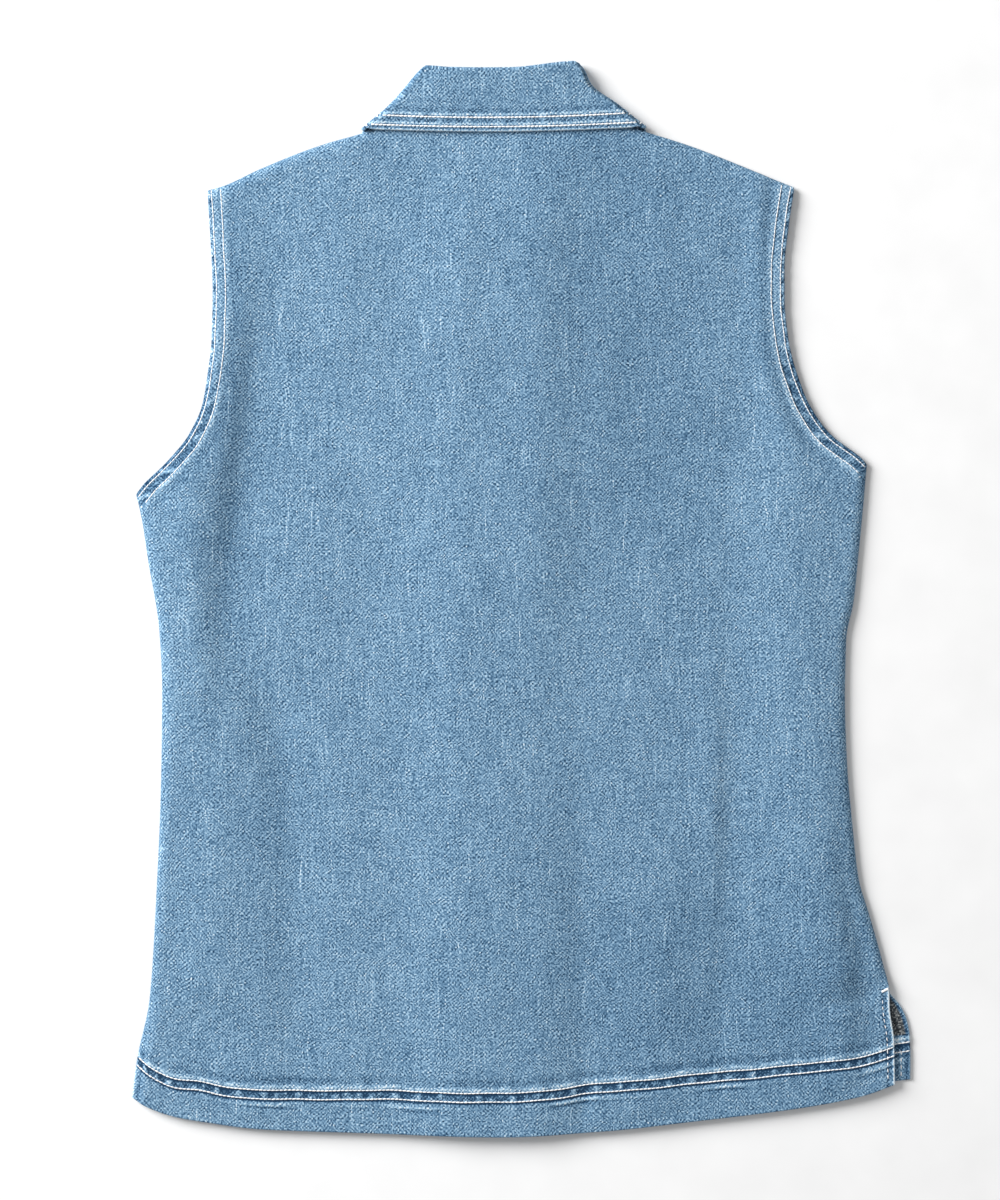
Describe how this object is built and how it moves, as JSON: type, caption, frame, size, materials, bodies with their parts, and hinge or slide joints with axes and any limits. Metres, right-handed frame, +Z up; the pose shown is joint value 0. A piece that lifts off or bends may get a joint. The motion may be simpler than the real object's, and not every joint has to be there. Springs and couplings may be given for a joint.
{
  "type": "denim vest",
  "caption": "Sleeveless denim vest with a turned-down collar, button front and side vents, laid flat with its back up.",
  "frame": {"origin": "on the surface that the vest lies on, under the middle of its box", "axes": "+Z up from the surface, +Y along the centre back from hem to collar, +X to the right seen from above, which is the wearer's right because the vest lies on its front"},
  "size_m": [0.5148, 0.7066, 0.0098],
  "materials": {
    "denim": "washed light blue denim, matt, with paler worn seam edges",
    "button": "plain dull metal tack button"
  },
  "bodies": {
    "root": {"back_panel": "denim", "front_right": "denim", "front_left": "denim", "collar": "denim", "button_1": "button", "button_2": "button", "button_3": "button", "button_4": "button", "button_5": "button", "button_6": "button", "button_7": "button"}
  },
  "joints": []
}
